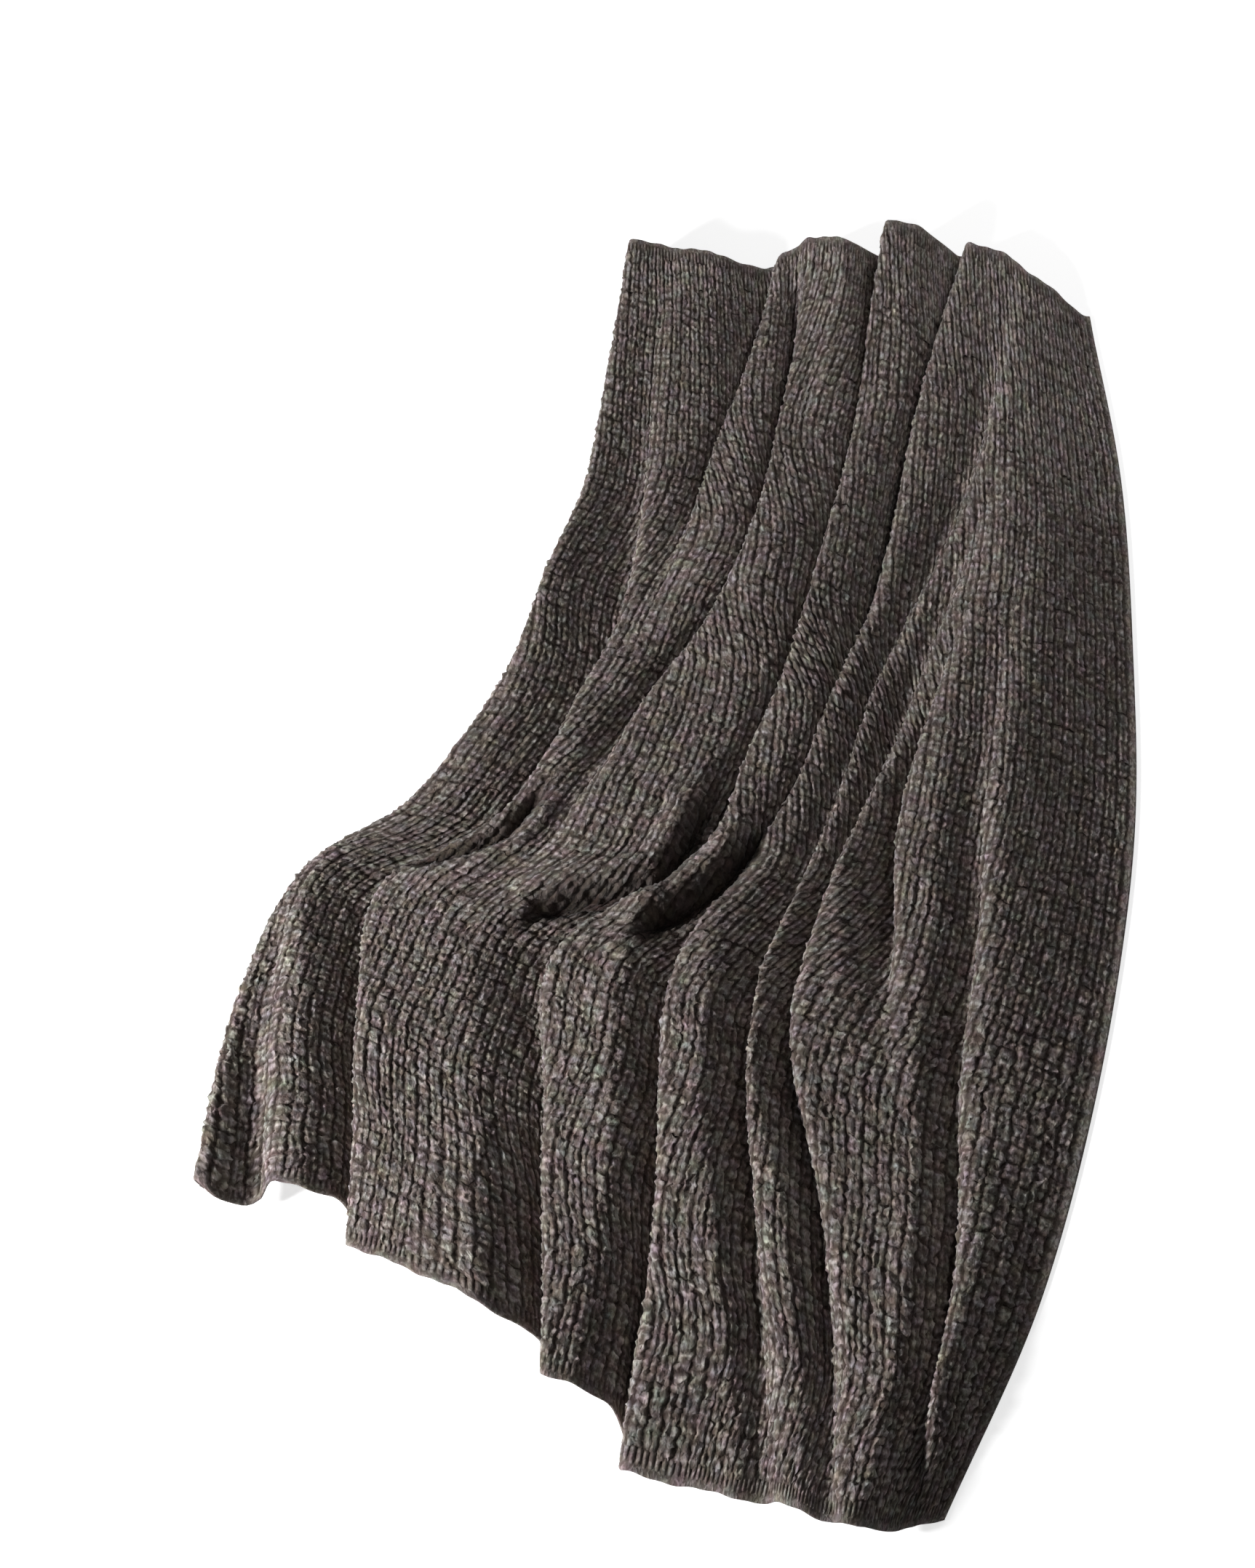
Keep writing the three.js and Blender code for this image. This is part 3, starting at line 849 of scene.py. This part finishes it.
def pucker_tree():
    """Ribs of puckers on the flat cloth, carried to the folded cloth that comes in."""
    tree, given = new_tree("Puckers On Cloth", "GeometryNodeTree", TREE_INPUTS, TREE_OUTPUTS)
    points, rib, pucker = set_out(tree, given)
    flat = sew(tree, given, points, rib, pucker)
    place = output(tree, "GeometryNodeInputPosition")
    flat = wrinkle(tree, given, flat, place)
    laid = carry_to_folds(tree, given, flat, place)
    shaded = output(tree, "GeometryNodeSetShadeSmooth", {"Geometry": laid})
    coloured = output(tree, "GeometryNodeSetMaterial", {
        "Geometry": shaded, "Material": given["Material"],
    })
    add_node(tree, "NodeGroupOutput", {"Geometry": coloured})
    return tree


def grow(name, cloth, tree, values):
    """A plain mesh from the tree, with its named inputs set first."""
    source = new_object(name + "_source", cloth)
    modifier = source.modifiers.new("puckers", "NODES")
    modifier.node_group = tree
    for item in tree.interface.items_tree:
        if item.in_out == "INPUT" and item.name in values:
            modifier[item.identifier] = values[item.name]
    bpy.context.view_layer.update()
    evaluated = source.evaluated_get(bpy.context.evaluated_depsgraph_get())
    piece = new_object(name, bpy.data.meshes.new_from_object(evaluated))
    bpy.data.objects.remove(source)
    return piece


# %% [markdown]
# ## The cotton
#
# The yarn is a warm dark grey, a little uneven as it was dyed. Shade is painted into the creases
# between the puckers and a highlight onto their crowns, so the colour follows how high a point
# stands on its pucker. The weave is a fine relief of crossing threads, which shows only close by.
# An image would repeat, so all of it is noise and waves on the flat cloth, in metres, which turns
# with the folds.
#
# One shader group makes all of that, and each material gives it its own values.

# %% The cotton's colours, and the size of its grain
# The crease colour is painted shade and the crown colour a painted highlight. The body colour is the
# yarn's own.
CREASE_PAINTED_SHADE = (0.025, 0.0143, 0.0103, 1)
BODY = (0.143, 0.115, 0.101, 1)
CROWN_PAINTED_HIGHLIGHT = (0.665, 0.602, 0.574, 1)
HEATHER = (0.5, 0.5, 0.5)

SLUBS_PER_METRE = (700, 160, 0)
CRINKLES_PER_METRE = (240, 170, 0)
BLOTCHES_PER_METRE = 16.0
HEATHER_PER_METRE = 55.0
LINT_PER_METRE = 420.0
THREAD_PITCH = 0.0011
CRINKLE_WIDTH = 0.16

# Slubs and crinkles count as height too, so they move the painted shade and highlight. The colour
# changes between these heights, in crowns.
SLUB_RISE = 0.4
CRINKLE_RISE = 0.3
PAINTED_SHADE_TO_BODY = (-0.25, 0.7)
BODY_TO_PAINTED_HIGHLIGHT = (0.45, 1.45)

# A pucker's own tone, unevenness, and relief for a crinkle that is 1 high.
TONE_LEAST = 0.92
TONE_SPREAD = 0.16
UNEVEN = (0.9, 1.1)
ROUGHNESS = (0.85, 0.98)
THREAD_RELIEF = 0.1
LINT_RELIEF = 0.3

COTTON_INPUTS = [
    ("Flat Place", "Vector", None), ("Crown Height", "Float", 0.5), ("Tone", "Float", 0.5),
    ("Painted Shade Color", "Color", CREASE_PAINTED_SHADE), ("Body Color", "Color", BODY), ("Painted Highlight Color", "Color", CROWN_PAINTED_HIGHLIGHT),
]
COTTON_OUTPUTS = [("Color", "Color"), ("Roughness", "Float"), ("Height", "Float")]

# %% The cotton group


def shader_mix(tree, share, first, second, blend="MIX"):
    """The colour output of a Mix node."""
    node = add_node(tree, "ShaderNodeMix", {0: share, 6: first, 7: second},
                    data_type="RGBA", blend_type=blend)
    return node.outputs[2]


def cotton_colour(tree, given, metres, slub, crinkle, lint):
    """From painted shade in the creases to a painted highlight on the crowns, by height, then uneven by
    pucker, dye, lint and yarn.
    """
    height = given["Crown Height"]
    for bumps, rise in ((slub, SLUB_RISE), (crinkle, CRINKLE_RISE)):
        bumps = calc(tree, "SUBTRACT", bumps, 0.5)
        height = calc(tree, "ADD", height, calc(tree, "MULTIPLY", bumps, rise))
    # Painted shade low on a pucker, and a painted highlight high on it.
    low = map_range(tree, height, *PAINTED_SHADE_TO_BODY)
    high = map_range(tree, height, *BODY_TO_PAINTED_HIGHLIGHT)
    colour = shader_mix(tree, low, given["Painted Shade Color"], given["Body Color"])
    colour = shader_mix(tree, high, colour, given["Painted Highlight Color"])

    shade = calc(tree, "ADD", TONE_LEAST, calc(tree, "MULTIPLY", given["Tone"], TONE_SPREAD))
    blotch = noise(tree, metres, BLOTCHES_PER_METRE, 2.0).outputs[0]
    for uneven in (blotch, lint):
        shade = calc(tree, "MULTIPLY", shade, map_range(tree, uneven, 0.3, 0.7, *UNEVEN))
    colour = shader_mix(tree, 1.0, colour, combine(tree, shade, shade, shade), "MULTIPLY")
    tint = centred(tree, noise(tree, metres, HEATHER_PER_METRE, 3.0))
    tint = vector_calc(tree, "MULTIPLY_ADD", tint, HEATHER, (1.0, 1.0, 1.0))
    return shader_mix(tree, 1.0, colour, tint, "MULTIPLY")


def cotton_group():
    """Colour, roughness and thread relief of puckered cotton."""
    tree, given = new_tree("Puckered Cotton", "ShaderNodeTree", COTTON_INPUTS, COTTON_OUTPUTS)
    metres = vector_calc(tree, "MULTIPLY", given["Flat Place"], (CLOTH_WIDTH, CLOTH_LENGTH, 0))
    slubs = vector_calc(tree, "MULTIPLY", metres, SLUBS_PER_METRE)
    slub = noise(tree, slubs, 1.0, 2.0).outputs[0]
    lint = noise(tree, metres, LINT_PER_METRE, 3.0).outputs[0]

    # Fine crinkles: soft humps that wander over the puckers.
    crinkles = vector_calc(tree, "MULTIPLY", metres, CRINKLES_PER_METRE)
    crinkle = noise(tree, crinkles, 1.0, 1.5, Roughness=0.55, Distortion=0.6).outputs[0]
    crinkle = map_range(tree, crinkle, 0.5 - CRINKLE_WIDTH, 0.5 + CRINKLE_WIDTH)

    warp, weft = (
        calc(tree, "SINE", calc(tree, "MULTIPLY", along, 2 * math.pi / THREAD_PITCH))
        for along in separate(tree, metres)[:2]
    )
    relief = calc(tree, "MULTIPLY", calc(tree, "MULTIPLY", warp, weft), THREAD_RELIEF)
    relief = calc(tree, "ADD", relief, calc(tree, "MULTIPLY", lint, LINT_RELIEF))
    add_node(tree, "NodeGroupOutput", {
        "Color": cotton_colour(tree, given, metres, slub, crinkle, lint),
        "Roughness": map_range(tree, slub, 0.2, 0.8, *ROUGHNESS),
        "Height": calc(tree, "ADD", relief, crinkle),
    })
    return tree


# %% Materials of the puckers and of the ground cloth
RELIEF = 0.0005
COTTON_FINISH = {"Sheen Weight": 0.12, "Sheen Roughness": 0.5, "Specular IOR Level": 0.2}
cotton = cotton_group()


def new_material(name, finish):
    """A material, its node tree and its shader's sockets."""
    material = bpy.data.materials.new(name)
    material.use_nodes = True
    sockets = material.node_tree.nodes["Principled BSDF"].inputs
    for socket, value in finish.items():
        sockets[socket].default_value = value
    return material, material.node_tree, sockets


def cotton_material(name, attributes):
    """Puckered cotton with values that are stored on the mesh."""
    material, tree, sockets = new_material(name, COTTON_FINISH)
    inputs = {"Flat Place": output(tree, "ShaderNodeUVMap", uv_map="UVMap")}
    for socket, attribute in attributes.items():
        source = add_node(tree, "ShaderNodeAttribute", attribute_name=attribute)
        inputs[socket] = source.outputs["Fac"]
    group = add_node(tree, "ShaderNodeGroup", inputs, node_tree=cotton)
    bump = output(tree, "ShaderNodeBump", {
        "Strength": 1.0, "Distance": RELIEF, "Height": group.outputs["Height"],
    })
    tree.links.new(group.outputs["Color"], sockets["Base Color"])
    tree.links.new(group.outputs["Roughness"], sockets["Roughness"])
    tree.links.new(bump, sockets["Normal"])
    return material


# How high the ground cloth counts between the puckers, and how much more at its smooth edge. The low
# count paints shade on the ground between the puckers, and the smooth edge stands near the body colour.
GROUND_CROWN = 0.1
EDGE_CROWN_RISE = 0.6
pucker_cotton = cotton_material("pucker_cotton", {"Crown Height": "crown", "Tone": "tone"})
ground_cotton = cotton_material("ground_cotton", {"Crown Height": "crown"})
blanket.data.materials.append(ground_cotton)
raised_all = np.concatenate([raised.ravel(), np.ones(np.count_nonzero(~shared))])
store(blanket, "crown", GROUND_CROWN + EDGE_CROWN_RISE * raised_all)

# %% Sew the puckers on, and paint shade onto the crowns deep in the creases
SIDE_MARGIN = 0.009
TOP_MARGIN = 0.018
laid_cloth = mesh_object("laid_cloth", middle.reshape(-1, 3), upper_faces, flat_uv)
store(laid_cloth, "out", out)
tree = pucker_tree()


def darken_in_creases(piece):
    """Lowers a piece's crowns where a crease takes the light."""
    places = np.zeros(len(piece.data.vertices) * 3, np.float32)
    piece.data.vertices.foreach_get("co", places)
    crowns = np.zeros(len(piece.data.vertices), np.float32)
    stored = piece.data.attributes["crown"].data
    stored.foreach_get("value", crowns)
    # Painted shade: the light that a crease takes is painted into the crowns, and so into the colour.
    crowns *= light_left(places[0::3], places[1::3])
    stored.foreach_set("value", crowns)


def sew_band(name, pitch, values):
    """A piece of as many ribs as fit across the cloth."""
    ribs = int((CLOTH_WIDTH - 2 * SIDE_MARGIN) / pitch)
    band = grow(name, laid_cloth.data, tree, {
        "Material": pucker_cotton, "Ribs": ribs, "Rib Pitch": pitch,
        "Side Margin": (CLOTH_WIDTH - ribs * pitch) / 2, **values,
    })
    darken_in_creases(band)
    print(name, ribs, "ribs,", len(band.data.polygons) * 2, "triangles")
    return band


# %% The bands of puckers, from the top edge to the hem
# Each band: its name, its kind of pucker, and the share of the rows that it ends at.
UPPER = {"Kinds": pucker_kinds, "Stagger": 0.4, "Straight Left": 0.07, "Straight Right": 0.3}
SKIRT = {"Kinds": skirt_kinds, "Pucker Kinds": len(SKIRT_SHAPES), "Stagger": 0.2,
         "Unevenness": 1.3}
BANDS = [
    ("puckers_top", UPPER, 0.22), ("puckers_back", UPPER, 0.43), ("puckers_seat", UPPER, 0.64),
    ("puckers_skirt", SKIRT, 0.82), ("puckers_low", SKIRT, 1),
]
rows = round((CLOTH_LENGTH - 2 * TOP_MARGIN) / CELL_PITCH)
top = (CLOTH_LENGTH - rows * CELL_PITCH) / 2
bands, first = [], 0
for name, kind, share in BANDS:
    last = round(rows * share)
    place = {"First Row": first, "Rows": last - first, "Top Margin": top}
    bands.append(sew_band(name, RIB_PITCH, {**place, **kind}))
    first = last

# %% The fine pleats along the two hems
PLEATS = {"Kinds": hem_kinds, "Pucker Kinds": 1, "Cell Pitch": HEM_RIB_LENGTH, "Unevenness": 0.2}
HEMS = [("ribs_top", HEM_RIB_MARGIN), ("ribs_hem", CLOTH_LENGTH - HEM_RIB_MARGIN - HEM_RIB_LENGTH)]
for name, margin in HEMS:
    bands.append(sew_band(name, HEM_RIB_PITCH, {"Top Margin": margin, **PLEATS}))
bpy.data.objects.remove(laid_cloth)
for band in bands:
    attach(band, "root")

# %% [markdown]
# ## The room
#
# One large lamp overhead would be simplest, but it flattens folds. A low soft lamp on the left,
# nearer the foot end, rakes across them: their left sides are bright, their troughs are dark and
# the far end is darker than the near one. A weak lamp beyond the far right corner and a weak sun
# open the shadows a little. The floor is white and keeps the blanket's shadow.

# %% Lamps, and how bright the room and the floor are
KEY = {"at": (-2.4, -0.9, 1.35), "aim": (0.0, -0.1, 0.0), "size": 0.4, "power": 98}
TOP = {"at": (0.9, 1.7, 1.1), "aim": (0.1, 0.5, 0.0), "size": 0.8, "power": 9}
FILL = {"back": (0.2, -0.6, 1.2), "strength": 0.07, "softness": math.radians(40)}
SKY = 0.06
FLOOR_SIZE = 5
FLOOR_LIFT = 0.68
FLOOR_FINISH = {"Base Color": (0.85, 0.85, 0.85, 1), "Roughness": 0.9, "Emission Color": (1, 1, 1, 1)}

for name, lamp in (("key", KEY), ("top", TOP)):
    data = bpy.data.lights.new(name, "AREA")
    data.energy, data.size = lamp["power"], lamp["size"]
    aim(new_object(name, data), lamp["at"], Vector(lamp["at"]) - Vector(lamp["aim"]))
fill = bpy.data.lights.new("fill", "SUN")
fill.energy, fill.angle = FILL["strength"], FILL["softness"]
aim(new_object("fill", fill), (0, 0, 0), FILL["back"])

# %% A white room that lights the cloth only a little
world = bpy.data.worlds.new("room")
world.use_nodes = True
sky = world.node_tree.nodes["Background"].inputs
sky["Color"].default_value = (1, 1, 1, 1)
seen = add_node(world.node_tree, "ShaderNodeLightPath").outputs["Is Camera Ray"]
world.node_tree.links.new(calc(world.node_tree, "MAXIMUM", seen, SKY), sky["Strength"])
bpy.context.scene.world = world

# %% The floor
half = FLOOR_SIZE / 2
corners = np.array([[-half, -half, 0], [half, -half, 0], [half, half, 0], [-half, half, 0]])
floor = mesh_object("floor", corners, np.array([[0, 1, 2, 3]]))
floor_paint, tree, sockets = new_material("floor_paint", FLOOR_FINISH)
seen = add_node(tree, "ShaderNodeLightPath").outputs["Is Camera Ray"]
tree.links.new(calc(tree, "MULTIPLY", seen, FLOOR_LIFT), sockets["Emission Strength"])
floor.data.materials.append(floor_paint)
bpy.context.scene.view_settings.view_transform = "Standard"

# %% What each piece stands for
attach(blanket, "root")
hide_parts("blanket")
